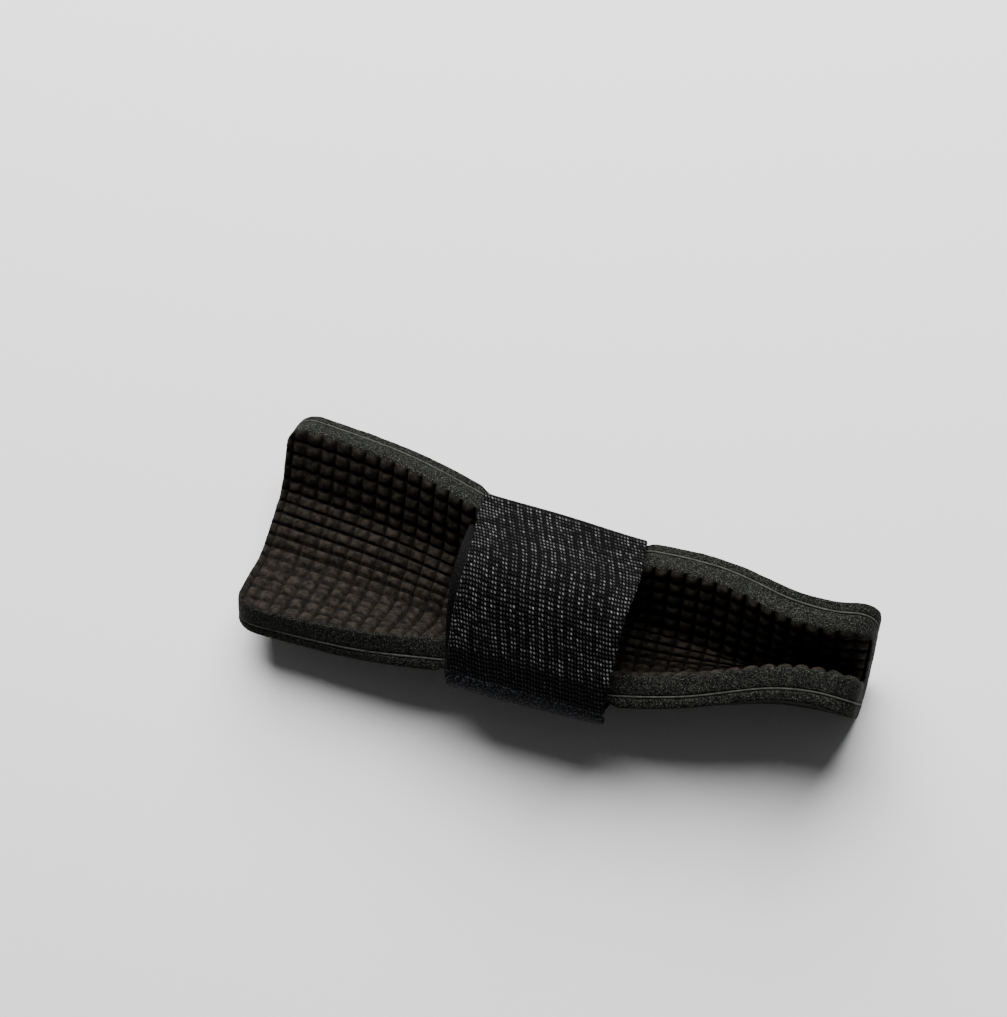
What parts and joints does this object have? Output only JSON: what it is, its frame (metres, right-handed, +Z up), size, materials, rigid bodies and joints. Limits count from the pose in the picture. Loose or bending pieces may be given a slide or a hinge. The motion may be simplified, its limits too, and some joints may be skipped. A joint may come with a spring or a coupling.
{
  "type": "finger splint",
  "caption": "Finger splint: a padded trough, bent from a foam-covered sheet, held closed over the finger's back by a wide woven strap.",
  "frame": {"origin": "under the middle of the splint's overall box, on the surface that the strap's flat underside rests on", "axes": "+X along the trough to the fingertip end, +Z up out of its open side, +Y to the wall that leans out further"},
  "size_m": [0.096, 0.036, 0.0232],
  "materials": {
    "outer_foam": "fine foam with a nap, matte",
    "core": "dull light grey sheet",
    "inner_foam": "brownish black foam, pressed into small raised cells, satin",
    "webbing": "black woven webbing with small glints"
  },
  "bodies": {
    "root": {"outer_pad": "outer_foam", "core_sheet": "core", "inner_pad": "inner_foam", "strap": "webbing"}
  },
  "joints": []
}
